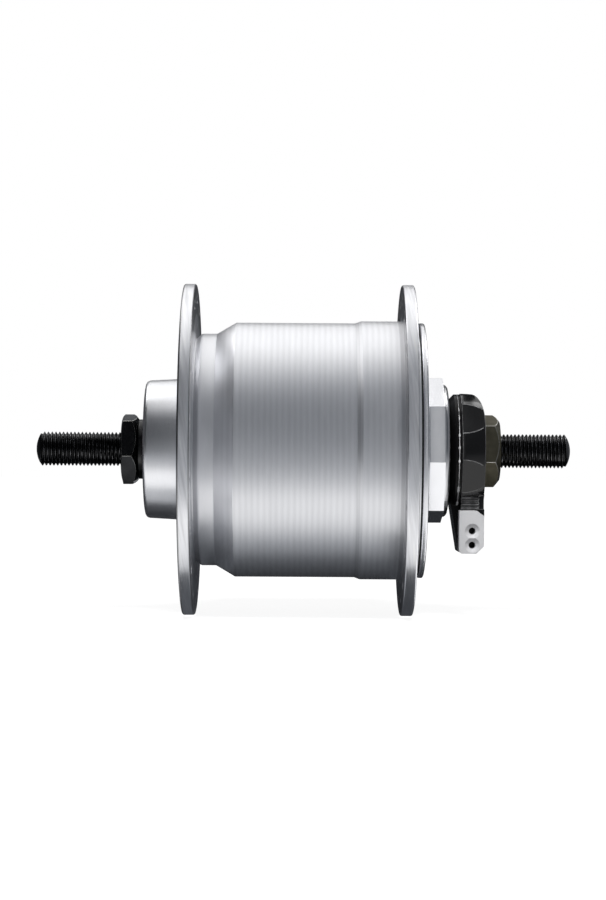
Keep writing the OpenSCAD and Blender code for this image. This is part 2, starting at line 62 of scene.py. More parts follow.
def startMaterial(name, colour, metallic, roughness):
    material = bpy.data.materials.new(name)
    material.use_nodes = True
    tree = material.node_tree
    shader = tree.nodes["Principled BSDF"]
    shader.inputs["Base Color"].default_value = (*colour, 1)
    shader.inputs["Metallic"].default_value = metallic
    shader.inputs["Roughness"].default_value = roughness
    return material, tree, shader


def objectPoint(tree):
    return addNode(tree, "ShaderNodeTexCoord").outputs["Object"]


def grainOf(tree, scale, detail=3.0):
    inputs = {"Vector": objectPoint(tree), "Scale": scale, "Detail": detail}
    return addNode(tree, "ShaderNodeTexNoise", None, inputs).outputs["Fac"]


# Station along the axle, distance from it, and the direction outwards
def roundAxle(tree):
    axes = addNode(tree, "ShaderNodeSeparateXYZ", None, {0: objectPoint(tree)}).outputs
    square = mathNode(tree, "ADD", mathNode(tree, "MULTIPLY", axes["Y"], axes["Y"]),
                      mathNode(tree, "MULTIPLY", axes["Z"], axes["Z"]))
    radius = mathNode(tree, "MAXIMUM", mathNode(tree, "SQRT", square), 1e-5)
    outward = [mathNode(tree, "DIVIDE", axes[side], radius) for side in ("Y", "Z")]
    return axes["X"], radius, outward


# Brush marks: noise drawn out round the axle
def brushMarks(tree, station, outward, perMetre, perTurn, slant=0.0, detail=2.0):
    across = mathNode(tree, "MULTIPLY", station, perMetre)
    across = mathNode(tree, "ADD", across, mathNode(tree, "MULTIPLY", outward[1], slant))
    place = addNode(tree, "ShaderNodeCombineXYZ", None, {
        "X": across, "Y": mathNode(tree, "MULTIPLY", outward[0], perTurn),
        "Z": mathNode(tree, "MULTIPLY", outward[1], perTurn)})
    inputs = {"Vector": place.outputs[0], "Scale": 1.0, "Detail": detail}
    return addNode(tree, "ShaderNodeTexNoise", None, inputs).outputs["Fac"]


# Marks of the turning tool: one wave for each turn of the feed
def feedMarks(tree, station, pitch, waver, waverAmount):
    turns = mathNode(tree, "DIVIDE", station, pitch)
    turns = mathNode(tree, "ADD", turns, mathNode(tree, "MULTIPLY", waver, waverAmount))
    wave = mathNode(tree, "SINE", mathNode(tree, "MULTIPLY", turns, 2 * math.pi))
    return mathNode(tree, "ADD", mathNode(tree, "MULTIPLY", wave, 0.5), 0.5)


# One between two stations, nothing outside them
def bandMask(tree, station, low, high, soft):
    rise = {"Value": station, "From Min": low - soft, "From Max": low + soft}
    fall = {"Value": station, "From Min": high - soft, "From Max": high + soft,
            "To Min": 1.0, "To Max": 0.0}
    sides = [addNode(tree, "ShaderNodeMapRange", None, side).outputs["Result"] for side in (rise, fall)]
    return mathNode(tree, "MULTIPLY", *sides)


noiseRange = (0.3, 0.7)  # where most of a noise lies


def spread(tree, factor, low, high):
    inputs = {"Value": factor, "From Min": noiseRange[0], "From Max": noiseRange[1],
              "To Min": low, "To Max": high}
    return addNode(tree, "ShaderNodeMapRange", None, inputs).outputs["Result"]


def tint(tree, factor, dark, light):
    inputs = {"Factor": spread(tree, factor, 0.0, 1.0), 6: (*dark, 1), 7: (*light, 1)}
    node = addNode(tree, "ShaderNodeMix", {"data_type": "RGBA"}, inputs)
    return node.outputs[2]


def roughInto(tree, shader, factor, look):
    middle, change = look["rough"], look["roughSpread"]
    rough = spread(tree, factor, middle - change, middle + change)
    tree.links.new(rough, shader.inputs["Roughness"])


def bumpInto(tree, shader, height, distance, before=None):
    inputs = {"Height": height, "Distance": distance, "Strength": 1.0}
    node = addNode(tree, "ShaderNodeBump", None, inputs)
    if before:
        tree.links.new(before.outputs["Normal"], node.inputs["Normal"])
    tree.links.new(node.outputs["Normal"], shader.inputs["Normal"])
    return node


# Finishes

# Turned aluminium: feed marks between two stations, brush marks all over, bands smoother or duller, and
# painted shade darkening given bands
def turnedMetal(name, look):
    material, tree, shader = startMaterial(name, look["light"], 1.0, look["rough"])
    soft = look["soft"]
    station, radius, outward = roundAxle(tree)
    brush = brushMarks(tree, station, outward, *look["brush"])
    fine = brushMarks(tree, station, outward, *look["fine"])
    blotch = grainOf(tree, look["blotchScale"])
    feed = feedMarks(tree, station, look["feed"] * mm, blotch, look["waver"])
    inFeed = bandMask(tree, station, look["feedFrom"] * mm, look["feedTo"] * mm, soft["feed"] * mm)
    feed = mathNode(tree, "MULTIPLY", mathNode(tree, "SUBTRACT", feed, 0.5), inFeed)
    shade = mathNode(tree, "MULTIPLY", feed, look["feedShade"])
    for marks, amount in ((brush, look["brushShade"]), (fine, look["fineShade"])):
        about = mathNode(tree, "SUBTRACT", marks, 0.5)
        shade = mathNode(tree, "ADD", shade, mathNode(tree, "MULTIPLY", about, amount))
    onRim = bandMask(tree, radius, look["rimFrom"] * mm, look["rimTo"] * mm, soft["rim"] * mm)
    streaks = mathNode(tree, "SUBTRACT", brushMarks(tree, station, outward, *look["rimBrush"]), 0.5)
    streaks = mathNode(tree, "MULTIPLY", streaks, mathNode(tree, "MULTIPLY", onRim, look["rimShade"]))
    level = mathNode(tree, "ADD", mathNode(tree, "ADD", shade, streaks), 1.0)
    # Painted shade: each band darkens the colour, in place of shade and dark reflections at flange
    # roots, inner faces, rim edges and the cap's boss ring
    for low, high, inner, outer, share, *lift in look["paintedShadeBands"]:
        mask = bandMask(tree, station, low * mm, high * mm, soft["station"] * mm)
        ring = bandMask(tree, radius, inner * mm, outer * mm, soft["radius"] * mm)
        mask = mathNode(tree, "MULTIPLY", mask, ring)
        if lift:  # only the part above this height, as a share of the radius
            above = bandMask(tree, outward[1], lift[0], look["liftTo"], soft["lift"])
            mask = mathNode(tree, "MULTIPLY", mask, above)
        loss = mathNode(tree, "MULTIPLY", mask, 1.0 - share)
        level = mathNode(tree, "MULTIPLY", level, mathNode(tree, "SUBTRACT", 1.0, loss))
    inputs = {0: look["light"], "Scale": level}
    scaled = addNode(tree, "ShaderNodeVectorMath", {"operation": "SCALE"}, inputs)
    tree.links.new(scaled.outputs[0], shader.inputs["Base Color"])
    rough = mathNode(tree, "MULTIPLY", mathNode(tree, "SUBTRACT", fine, 0.5), look["roughSpread"])
    rough = mathNode(tree, "ADD", look["rough"], rough)
    for low, high, change in look["roughBands"]:
        mask = bandMask(tree, station, low * mm, high * mm, soft["rough"] * mm)
        rough = mathNode(tree, "ADD", rough, mathNode(tree, "MULTIPLY", mask, change))
    tree.links.new(rough, shader.inputs["Roughness"])
    first = bumpInto(tree, shader, feed, look["feedDepth"] * mm)
    bumpInto(tree, shader, fine, look["fineDepth"] * mm, first)
    return material


def plainMetal(name, look):
    metallic = look.get("metallic", 1.0)
    material, tree, shader = startMaterial(name, look["light"], metallic, look["rough"])
    grain = grainOf(tree, look["grainScale"], detail=5.0)
    blotch = grainOf(tree, look["blotchScale"])
    colour = tint(tree, blotch, look["dark"], look["light"])
    if "crest" in look:  # bare metal in spots on the crests of a thread
        low, high, scale, bare = look["crest"]
        inputs = {"Value": roundAxle(tree)[1], "From Min": low * mm, "From Max": high * mm}
        onCrest = addNode(tree, "ShaderNodeMapRange", None, inputs).outputs["Result"]
        worn = mathNode(tree, "MULTIPLY", onCrest, spread(tree, grainOf(tree, scale), 0.0, 1.0))
        inputs = {"Factor": worn, 6: colour, 7: (*bare, 1)}
        colour = addNode(tree, "ShaderNodeMix", {"data_type": "RGBA"}, inputs).outputs[2]
    tree.links.new(colour, shader.inputs["Base Color"])
    roughInto(tree, shader, grain, look)
    bumpInto(tree, shader, grain, look["grainDepth"])
    return material


def mouldedPlastic(name, look):
    material, tree, shader = startMaterial(name, look["light"], 0.0, look["rough"])
    shader.inputs["Specular IOR Level"].default_value = look.get("gloss", 0.5)
    grain = grainOf(tree, look["grainScale"], detail=4.0)
    flow = grainOf(tree, look["flowScale"])
    tree.links.new(tint(tree, flow, look["dark"], look["light"]), shader.inputs["Base Color"])
    roughInto(tree, shader, flow, look)
    bumpInto(tree, shader, grain, look["grainDepth"])
    return material


shellLook = {
    "light": (0.9, 0.905, 0.93), "rough": 0.36, "roughSpread": 0.1, "blotchScale": 40,
    "feed": 1.54, "feedFrom": -21.0, "feedTo": 25.0, "feedShade": 0.08, "feedDepth": 0.0004,
    "waver": 0.4, "brush": (450, 3.0), "brushShade": 0.1,
    "fine": (3200, 9.0), "fineShade": 0.07, "fineDepth": 0.0006,
    "rimFrom": 42.8, "rimTo": 60.0, "rimBrush": (1500, 3.0, 10.0), "rimShade": 0.6, "liftTo": 2.0,
    "soft": {"feed": 0.5, "rim": 0.3, "station": 0.1, "radius": 0.4, "lift": 0.15, "rough": 0.3},
    # from station, to station, change
    "roughBands": ((-50.0, -32.0, -0.04), (-31.8, -28.0, -0.05), (25.5, 29.8, -0.05)),
    # painted shade: from station, to station, from radius, to radius, share of light left, lowest
    # height
    "paintedShadeBands": (
        (-28.6, -28.2, 31.5, 36.0, 0.9), (-28.6, -28.2, 36.0, 43.2, 0.45, 0.4),
        (-28.75, -28.2, 43.3, 45.0, 0.4), (-32.0, -31.2, 42.9, 45.0, 0.35),
        (25.5, 25.9, 35.2, 45.0, 0.45), (-28.4, -26.9, 29.4, 31.0, 0.78),
        (24.7, 25.9, 33.0, 35.0, 0.78), (13.4, 14.4, 33.0, 35.0, 0.85)),
}
capLook = dict(  # its feed marks lie past its end, so it has none
    shellLook, rough=0.24, feedFrom=100.0, feedTo=101.0, roughBands=((32.5, 36.9, -0.06),),
    # painted shade darkens the boss ring beside the octagon
    paintedShadeBands=((37.0, 38.2, 12.0, 18.0, 0.6),),
)
axleLook = {
    "light": (0.05, 0.05, 0.051), "dark": (0.02, 0.02, 0.021), "rough": 0.26, "roughSpread": 0.08,
    "grainScale": 4000, "grainDepth": 0.000004, "blotchScale": 300,
}
threadLook = dict(axleLook, crest=(4.4, 4.48, 900, (0.35, 0.35, 0.36)))  # radii, scale, colour
blackSteelLook = dict(axleLook, light=(0.065, 0.065, 0.067), dark=(0.045, 0.045, 0.047), rough=0.14)
oliveSteelLook = dict(axleLook, light=(0.205, 0.19, 0.138), dark=(0.13, 0.119, 0.084), rough=0.36)
wornLook = dict(axleLook, light=(0.85, 0.84, 0.8), dark=(0.4, 0.39, 0.36), rough=0.3, blotchScale=700)
bearingLook = {
    "light": (0.55, 0.56, 0.58), "dark": (0.45, 0.46, 0.48), "rough": 0.22, "roughSpread": 0.04,
    "grainScale": 3000, "grainDepth": 0.000002, "blotchScale": 200,
}
ballLook = dict(
    bearingLook, light=(0.75, 0.76, 0.78), dark=(0.7, 0.71, 0.73), rough=0.08, roughSpread=0.02,
)
brassLook = dict(bearingLook, light=(0.78, 0.58, 0.24), dark=(0.66, 0.47, 0.17), rough=0.25)
copperLook = dict(bearingLook, light=(0.78, 0.33, 0.13), dark=(0.6, 0.22, 0.08), rough=0.28)
ironLook = dict(bearingLook, light=(0.32, 0.325, 0.34), dark=(0.22, 0.225, 0.235), rough=0.42)
ferriteLook = dict(
    bearingLook, light=(0.055, 0.055, 0.06), dark=(0.035, 0.035, 0.04), rough=0.6, metallic=0.2,
)
connectorLook = {
    "light": (0.004, 0.004, 0.0043), "dark": (0.0025, 0.0025, 0.0027), "rough": 0.16,
    "roughSpread": 0.03, "grainScale": 2500, "grainDepth": 0.000003, "flowScale": 120,
}
plugLook = dict(
    connectorLook, light=(0.76, 0.76, 0.775), dark=(0.71, 0.71, 0.725), rough=0.42, grainDepth=0.000008,
)
coverLook = dict(connectorLook, rough=0.24, gloss=0.12)
# Painted highlight: pale grey for the connector housing's broken edges, in place of glints along them
edgeHighlightLook = dict(
    connectorLook, light=(0.24, 0.24, 0.245), dark=(0.05, 0.05, 0.052), rough=0.22, flowScale=500,
)
# Painted highlight: the seam flash is near white, in place of glints along the seam
flashHighlightLook = dict(
    connectorLook, light=(0.85, 0.85, 0.86), dark=(0.35, 0.35, 0.36), rough=0.2, flowScale=900,
)
carrierLook = dict(connectorLook, light=(0.014, 0.014, 0.015), dark=(0.01, 0.01, 0.011), rough=0.4)
bobbinLook = dict(connectorLook, light=(0.66, 0.61, 0.5), dark=(0.6, 0.55, 0.44), rough=0.4)
rubberLook = dict(connectorLook, light=(0.016, 0.016, 0.017), dark=(0.011, 0.011, 0.012), rough=0.55)
leadLook = dict(connectorLook, light=(0.45, 0.035, 0.025), dark=(0.38, 0.028, 0.02), rough=0.35)

finishLooks = {
    "shell_aluminium": (turnedMetal, shellLook),
    "cap_aluminium": (turnedMetal, capLook),
    "axle_steel": (plainMetal, threadLook),
    "dark_steel": (plainMetal, axleLook),
    "black_steel": (plainMetal, blackSteelLook),
    "olive_steel": (plainMetal, oliveSteelLook),
    "worn_steel": (plainMetal, wornLook),
    "bearing_steel": (plainMetal, bearingLook),
    "ball_steel": (plainMetal, ballLook),
    "dust_cap_steel": (plainMetal, bearingLook),
    "cage_brass": (plainMetal, brassLook),
    "contact_brass": (plainMetal, brassLook),
    "coil_copper": (plainMetal, copperLook),
    "core_iron": (plainMetal, ironLook),
    "magnet_ferrite": (plainMetal, ferriteLook),
    "connector_plastic": (mouldedPlastic, connectorLook),
    "cover_plastic": (mouldedPlastic, coverLook),
    "edge_highlight_plastic": (mouldedPlastic, edgeHighlightLook),
    "flash_highlight_plastic": (mouldedPlastic, flashHighlightLook),
    "plug_plastic": (mouldedPlastic, plugLook),
    "carrier_plastic": (mouldedPlastic, carrierLook),
    "bobbin_plastic": (mouldedPlastic, bobbinLook),
    "seal_rubber": (mouldedPlastic, rubberLook),
    "lead_insulation": (mouldedPlastic, leadLook),
}
finishes = {name: make(name, look) for name, (make, look) in finishLooks.items()}
finishOf = {
    "axle": "axle_steel", "left_locknut": "black_steel", "left_washer": "black_steel",
    "right_locknut": "olive_steel", "left_cone": "bearing_steel", "right_cone": "bearing_steel",
    "left_clamp_nut": "bearing_steel", "right_clamp_nut": "bearing_steel",
    "connector_bush": "bearing_steel", "left_cup": "bearing_steel", "right_cup": "bearing_steel",
    "left_cone_seal": "seal_rubber", "right_cone_seal": "seal_rubber", "cap_seal": "seal_rubber",
    "left_claw_plate": "core_iron", "right_claw_plate": "core_iron", "core_tube": "core_iron",
    "yoke_ring": "core_iron", "bobbin": "bobbin_plastic", "coil": "coil_copper",
    "coil_lead": "lead_insulation", "connector_back": "connector_plastic",
    "connector_housing": "connector_plastic", "live_contact": "contact_brass",
    "ground_contact": "contact_brass", "hub_shell": "shell_aluminium", "end_cap": "cap_aluminium",
    "left_dust_cap": "dust_cap_steel", "right_dust_cap": "dust_cap_steel",
    "magnet_1": "magnet_ferrite", "magnet_2": "magnet_ferrite", "magnet_3": "magnet_ferrite",
    "magnet_4": "magnet_ferrite", "left_balls": "ball_steel", "right_balls": "ball_steel",
    "left_cage": "cage_brass", "right_cage": "cage_brass", "plug_cap": "plug_plastic",
    "plug_carrier": "carrier_plastic",
}
for nodeName, finishName in finishOf.items():
    nodeSlots = nodes[nodeName].data.materials
    nodeSlots.clear()
    nodeSlots.append(finishes[finishName])
print("finishes:", len(finishes))


# Mesh helpers

def showMesh(name, bm, material):
    bmesh.ops.remove_doubles(bm, verts=bm.verts, dist=1e-7)
    bmesh.ops.recalc_face_normals(bm, faces=bm.faces)
    mesh = bpy.data.meshes.new(name)
    bm.to_mesh(mesh)
    bm.free()
    mesh.materials.append(material)
    piece = bpy.data.objects.new(name, mesh)
    bpy.context.scene.collection.objects.link(piece)
    return piece


# Modifiers become a plain mesh
def settle(piece):
    graph = bpy.context.evaluated_depsgraph_get()
    made = bpy.data.meshes.new_from_object(
        piece.evaluated_get(graph), preserve_all_data_layers=True, depsgraph=graph)
    piece.modifiers.clear()
    piece.data = made
    return piece


def smoothShade(piece, sharpAngle=35):
    mesh = piece.data
    mesh.shade_smooth()
    mesh.set_sharp_from_angle(angle=math.radians(sharpAngle))
    weight = piece.modifiers.new("weight", "WEIGHTED_NORMAL")
    weight.keep_sharp = True
    settle(piece)


mostOfSide = 0.48  # a rounding takes no more of the side next to it


# Closed outline of (x, radius, corner rounding) in millimetres, with its corners rounded
def roundCorners(points, steps=4):
    loop = []
    count = len(points)
    for i, (x, r, rounding) in enumerate(points):
        here = Vector((x, r))
        before = Vector(points[i - 1][:2]) - here
        after = Vector(points[(i + 1) % count][:2]) - here
        if rounding <= 0:
            loop.append(here)
            continue
        bend = before.angle(after)
        room = mostOfSide * min(before.length, after.length)
        reach = min(rounding / math.tan(bend / 2), room)
        rounding = reach * math.tan(bend / 2)
        before.normalize()
        after.normalize()
        middle = (before + after).normalized() * rounding / math.sin(bend / 2)
        start = before * reach - middle
        end = after * reach - middle
        turn = start.angle_signed(end)
        for k in range(steps + 1):
            a = -turn * k / steps
            spoke = Vector((start.x * math.cos(a) - start.y * math.sin(a),
                            start.x * math.sin(a) + start.y * math.cos(a)))
            loop.append(here + middle + spoke)
    return loop


onAxis = 1e-6  # outline points nearer the axis than this count as on it


# Turned body round the axle from a closed outline
def turnedBody(name, loop, material, segments):
    bm = bmesh.new()
    rings = []
    for s in range(segments):
        a = 2 * math.pi * s / segments
        rings.append([
            bm.verts.new((x * mm, -r * mm * math.cos(a), r * mm * math.sin(a))) for x, r in loop])
    for s in range(segments):
        near, far = rings[s], rings[(s + 1) % segments]
        for i in range(len(loop)):
            k = (i + 1) % len(loop)
            if loop[i][1] < onAxis and loop[k][1] < onAxis:
                continue
            bm.faces.new((near[i], near[k], far[k], far[i]))
    return showMesh(name, bm, material)


def startTree(name, sizes):
    tree = bpy.data.node_groups.new(name, "GeometryNodeTree")
    tree.interface.new_socket("Geometry", in_out="INPUT", socket_type="NodeSocketGeometry")
    for label, kind in sizes:
        tree.interface.new_socket(label, in_out="INPUT", socket_type="NodeSocket" + kind)
    tree.interface.new_socket("Geometry", in_out="OUTPUT", socket_type="NodeSocketGeometry")
    return tree, tree.nodes.new("NodeGroupInput").outputs


def endTree(tree, geometry, material):
    real = addNode(tree, "GeometryNodeRealizeInstances", None, {0: geometry})
    inputs = {"Geometry": real.outputs[0], "Material": material}
    painted = addNode(tree, "GeometryNodeSetMaterial", None, inputs)
    out = tree.nodes.new("NodeGroupOutput")
    tree.links.new(painted.outputs[0], out.inputs[0])


wireSides = 8


def roundSection(tree, radius):
    inputs = {"Resolution": wireSides, "Radius": radius}
    return addNode(tree, "GeometryNodeCurvePrimitiveCircle", None, inputs).outputs[0]


# A curve made about Z turns to lie about the axle, at a station on it
def placeOnAxle(tree, curve, station):
    offset = addNode(tree, "ShaderNodeCombineXYZ", None, {"X": station})
    inputs = {"Geometry": curve, "Rotation": (0, math.pi / 2, 0), "Translation": offset.outputs[0]}
    return addNode(tree, "GeometryNodeTransform", None, inputs).outputs[0]


def runTree(piece, tree, values):
    modifier = piece.modifiers.new(tree.name, "NODES")
    modifier.node_group = tree
    for item in tree.interface.items_tree:
        if item.in_out == "INPUT" and item.name in values:
            modifier[item.identifier] = values[item.name]
    settle(piece)


def standFor(piece, node, body):
    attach(piece, body)
    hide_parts(node)


# Axle: a turned blank whose bare ends are cut by a thread
axleSizes = {
    "radius": 4.5, "engagedRadius": 4.18, "middleRadius": 5.0, "tips": (-70.85, 70.85),
    "nutFaces": (-48.05, 51.95), "middle": (-29.85, 27.35), "domeRadius": 7.8, "domeSteps": 8,
    "pitch": 1.0, "depth": 0.6, "rootFlat": 0.2, "crestFlat": 0.12, "rowsPerPitch": 10,
    "faceSlip": 0.01, "segments": 64, "sharpAngle": 50,
    "grooveLow": 16.15, "grooveHigh": 45.75, "grooveWidth": 1.6, "grooveFloor": 2.65,
    "grooveTurn": 31.0, "grooveOver": 1.0,
}


def threadTree():
    sizes = ("Pitch", "Depth", "Radius", "Root Flat", "Crest Flat", "Left Face", "Right Face")
    tree, given = startTree("axleThread", [(s, "Float") for s in sizes] + [("Material", "Material")])
    place = addNode(tree, "GeometryNodeInputPosition")
    axes = addNode(tree, "ShaderNodeSeparateXYZ", None, {0: place.outputs[0]}).outputs
    angle = mathNode(tree, "ARCTAN2", axes["Z"], axes["Y"])
    turn = mathNode(tree, "DIVIDE", angle, 2 * math.pi)
    phase = mathNode(tree, "SUBTRACT", mathNode(tree, "DIVIDE", axes["X"], given["Pitch"]), turn)
    ridge = mathNode(tree, "SUBTRACT", mathNode(tree, "FRACT", phase), 0.5)
    ridge = mathNode(tree, "MULTIPLY", mathNode(tree, "ABSOLUTE", ridge), 2.0)
    crest = mathNode(tree, "SUBTRACT", 1.0, given["Crest Flat"])
    inputs = {"Value": ridge, "From Min": given["Root Flat"], "From Max": crest,
              "To Min": given["Depth"], "To Max": 0.0}
    cut = addNode(tree, "ShaderNodeMapRange", None, inputs).outputs["Result"]
    outside = mathNode(tree, "ADD", mathNode(tree, "LESS_THAN", axes["X"], given["Left Face"]),
                       mathNode(tree, "GREATER_THAN", axes["X"], given["Right Face"]))
    cut = mathNode(tree, "MULTIPLY", cut, outside)
    square = mathNode(tree, "ADD", mathNode(tree, "MULTIPLY", axes["Y"], axes["Y"]),
                      mathNode(tree, "MULTIPLY", axes["Z"], axes["Z"]))
    radius = mathNode(tree, "MAXIMUM", mathNode(tree, "SQRT", square), 1e-6)
    allowed = mathNode(tree, "SUBTRACT", given["Radius"], cut)
    share = mathNode(tree, "MINIMUM", mathNode(tree, "DIVIDE", allowed, radius), 1.0)
    share = mathNode(tree, "ADD", mathNode(tree, "MULTIPLY", share, outside),
                     mathNode(tree, "SUBTRACT", 1.0, outside))
    moved = addNode(tree, "ShaderNodeCombineXYZ", None, {
        "X": axes["X"], "Y": mathNode(tree, "MULTIPLY", axes["Y"], share),
        "Z": mathNode(tree, "MULTIPLY", axes["Z"], share)})
    shaped = addNode(tree, "GeometryNodeSetPosition", None, {
        "Geometry": given["Geometry"], "Position": moved.outputs[0]})
    endTree(tree, shaped.outputs[0], given["Material"])
    return tree


# Groove for the lead, cut by a box that is turned about the axle
def cutGroove(piece, s):
    bm = bmesh.new()
    bmesh.ops.create_cube(bm, size=1.0)
    low, high = -s["middleRadius"] - s["grooveOver"], -s["grooveFloor"]
    size = Vector((s["grooveHigh"] - s["grooveLow"], s["grooveWidth"], high - low)) * mm
    middle = Vector((s["grooveHigh"] + s["grooveLow"], 0, high + low)) / 2 * mm
    turn = Matrix.Rotation(math.radians(s["grooveTurn"]), 4, "X")
    bm.transform(turn @ Matrix.Translation(middle) @ Matrix.Diagonal((*size, 1)))
    cutter = showMesh("grooveCutter", bm, finishes["axle_steel"])
    cut = piece.modifiers.new("groove", "BOOLEAN")
    cut.operation = "DIFFERENCE"
    cut.solver = "EXACT"
    cut.object = cutter
    settle(piece)
    bpy.data.objects.remove(cutter)


def makeAxle(s):
    left, right = s["tips"]
    faceLeft, faceRight = s["nutFaces"]
    domeAngle = math.asin(s["radius"] / s["domeRadius"])
    dome = []
    for i in range(s["domeSteps"] + 1):
        a = domeAngle * i / s["domeSteps"]
        dome.append((s["domeRadius"] * (1 - math.cos(a)), s["domeRadius"] * math.sin(a)))
    domeHigh = dome[-1][0]
    step = s["pitch"] / s["rowsPerPitch"]
    loop = [(left + d, r) for d, r in dome]
    bare = faceLeft - left - domeHigh
    rows = int(bare / step)
    loop += [(left + domeHigh + bare * i / rows, s["radius"]) for i in range(1, rows + 1)]
    loop += [(faceLeft, s["engagedRadius"]), (s["middle"][0], s["engagedRadius"])]
    loop += [(s["middle"][0], s["middleRadius"]), (s["middle"][1], s["middleRadius"])]
    loop += [(s["middle"][1], s["engagedRadius"]), (faceRight, s["engagedRadius"])]
    bare = right - domeHigh - faceRight
    rows = int(bare / step)
    loop += [(faceRight + bare * i / rows, s["radius"]) for i in range(rows)]
    loop += [(right - d, r) for d, r in reversed(dome)]
    piece = turnedBody("axleThreaded", loop, finishes["axle_steel"], s["segments"])
    runTree(piece, threadTree(), {
        "Pitch": s["pitch"] * mm, "Depth": s["depth"] * mm, "Radius": s["radius"] * mm,
        "Root Flat": s["rootFlat"], "Crest Flat": s["crestFlat"],
        "Left Face": (faceLeft + s["faceSlip"]) * mm, "Right Face": (faceRight - s["faceSlip"]) * mm,
        "Material": finishes["axle_steel"]})
    cutGroove(piece, s)
    smoothShade(piece, s["sharpAngle"])
    standFor(piece, "axle", "axle")


makeAxle(axleSizes)
print("axle threaded and grooved")


# Shell: turned outline with rounded edges, and spoke holes through both flanges
shellSizes = {
    "edge": 0.25, "flangeEdge": 0.5, "segments": 192,
    "holeCount": 18, "holeRadius": 1.3, "holeCircle": 40.0, "holeBevel": 0.15, "holeSegments": 20,
    "drillOver": 0.5,
    "leftFlange": (-31.65, -28.45), "rightFlange": (25.8, 29.0), "lip": 0.9,
}


def spokeHoleTree():
    sizes = [("Cutter", "Object"), ("Count", "Int"), ("Circle Radius", "Float"),
             ("Left Middle", "Float"), ("Right Middle", "Float"), ("Right Turn", "Float"),
             ("Material", "Material")]
    tree, given = startTree("spokeHoles", sizes)
    cutter = addNode(tree, "GeometryNodeObjectInfo", None, {"Object": given["Cutter"]})
    ring = addNode(tree, "GeometryNodeMeshCircle", None, {
        "Vertices": given["Count"], "Radius": given["Circle Radius"]})
    upright = addNode(tree, "GeometryNodeTransform", None, {
        "Geometry": ring.outputs[0], "Rotation": (0, -math.pi / 2, 0)})
    sides = addNode(tree, "GeometryNodeJoinGeometry")
    for side in ("Left", "Right"):
        turned = upright.outputs[0]
        if side == "Right":
            turn = addNode(tree, "ShaderNodeCombineXYZ", None, {"X": given["Right Turn"]})
            turned = addNode(tree, "GeometryNodeTransform", None, {
                "Geometry": turned, "Rotation": turn.outputs[0]}).outputs[0]
        offset = addNode(tree, "ShaderNodeCombineXYZ", None, {"X": given[side + " Middle"]})
        placed = addNode(tree, "GeometryNodeTransform", None, {
            "Geometry": turned, "Translation": offset.outputs[0]})
        drills = addNode(tree, "GeometryNodeInstanceOnPoints", None, {
            "Points": placed.outputs[0], "Instance": cutter.outputs["Geometry"]})
        tree.links.new(drills.outputs[0], sides.inputs[0])
    drills = addNode(tree, "GeometryNodeRealizeInstances", None, {0: sides.outputs[0]})
    drilled = addNode(tree, "GeometryNodeMeshBoolean", {"operation": "DIFFERENCE"}, {
        "Mesh 1": given["Geometry"], "Mesh 2": drills.outputs[0]})
    endTree(tree, drilled.outputs[0], given["Material"])
    return tree


def makeShell(s):
    e, rim = s["edge"], s["flangeEdge"]
    leftOut, leftIn = s["leftFlange"]
    rightIn, rightOut = s["rightFlange"]
    lipEnd = rightOut + s["lip"]
    outline = [
        (-41.7, 13.23, 0.15), (-41.7, 18.2, 1.2), (leftOut, 18.75, 0.3),  # boss
        (leftOut, 43.9, rim), (leftIn, 43.9, rim), (leftIn, 29.65, 0.1),  # left flange
        (-28.15, 29.65, 0.1), (-26.85, 30.75, 1.2), (-22.9, 30.75, 0.5), (-17.9, 33.7, 0.5),  # neck
        (13.6, 33.7, 0.3), (15.1, 34.25, 0.3), (rightIn, 34.25, 0),  # barrel
        (rightIn, 43.9, rim), (rightOut, 43.9, rim), (rightOut, 33.3, 0.1),  # right flange
        (lipEnd, 33.3, 0.1), (lipEnd, 31.3, e), (-17.0, 31.3, 0), (-17.0, 28.35, 0),  # inside
        (-28.6, 28.35, 0), (-28.6, 8.9, 0), (-33.0, 8.9, 0), (-33.0, 13.23, 0),
    ]
    metal = finishes["shell_aluminium"]
    piece = turnedBody("hubShellTurned", roundCorners(outline), metal, s["segments"])
    half = (leftIn - leftOut) / 2
    over, bevel, hole = s["drillOver"], s["holeBevel"], s["holeRadius"]
    flare = hole + bevel + over
    drill = [(-half - over, 0), (-half - over, flare), (bevel - half, hole),
             (half - bevel, hole), (half + over, flare), (half + over, 0)]
    cutter = turnedBody("spokeDrill", drill, metal, s["holeSegments"])
    runTree(piece, spokeHoleTree(), {
        "Cutter": cutter, "Count": s["holeCount"], "Circle Radius": s["holeCircle"] * mm,
        "Left Middle": (leftOut + leftIn) / 2 * mm, "Right Middle": (rightIn + rightOut) / 2 * mm,
        "Right Turn": math.pi / s["holeCount"], "Material": metal})
    bpy.data.objects.remove(cutter)
    smoothShade(piece)
    standFor(piece, "hub_shell", "shell")


makeShell(shellSizes)
print("shell turned and drilled")


# End cap: turned outline with an octagonal ring for the wrench
capSizes = {
    "mouth": (38.05, 13.23), "bossRadius": 17.6, "bossEdge": 1.2, "neckRadius": 17.3,
    "disc": (30.35, 31.75), "discRadius": 33.8, "discEdge": 0.4, "spigot": (20.95, 31.27, 28.87),
    "web": (28.5, 29.85, 8.9), "octagon": (32.7, 36.8), "octagonFlats": 36.0, "octagonTurn": 8.8,
    "octagonSides": 8, "octagonInner": 16.0, "edge": 0.15, "edgeSteps": 2, "segments": 192,
}


def joinInto(piece, other):
    bm = bmesh.new()
    bm.from_mesh(piece.data)
    bm.from_mesh(other.data)
    bm.to_mesh(piece.data)
    bm.free()
    bpy.data.objects.remove(other)


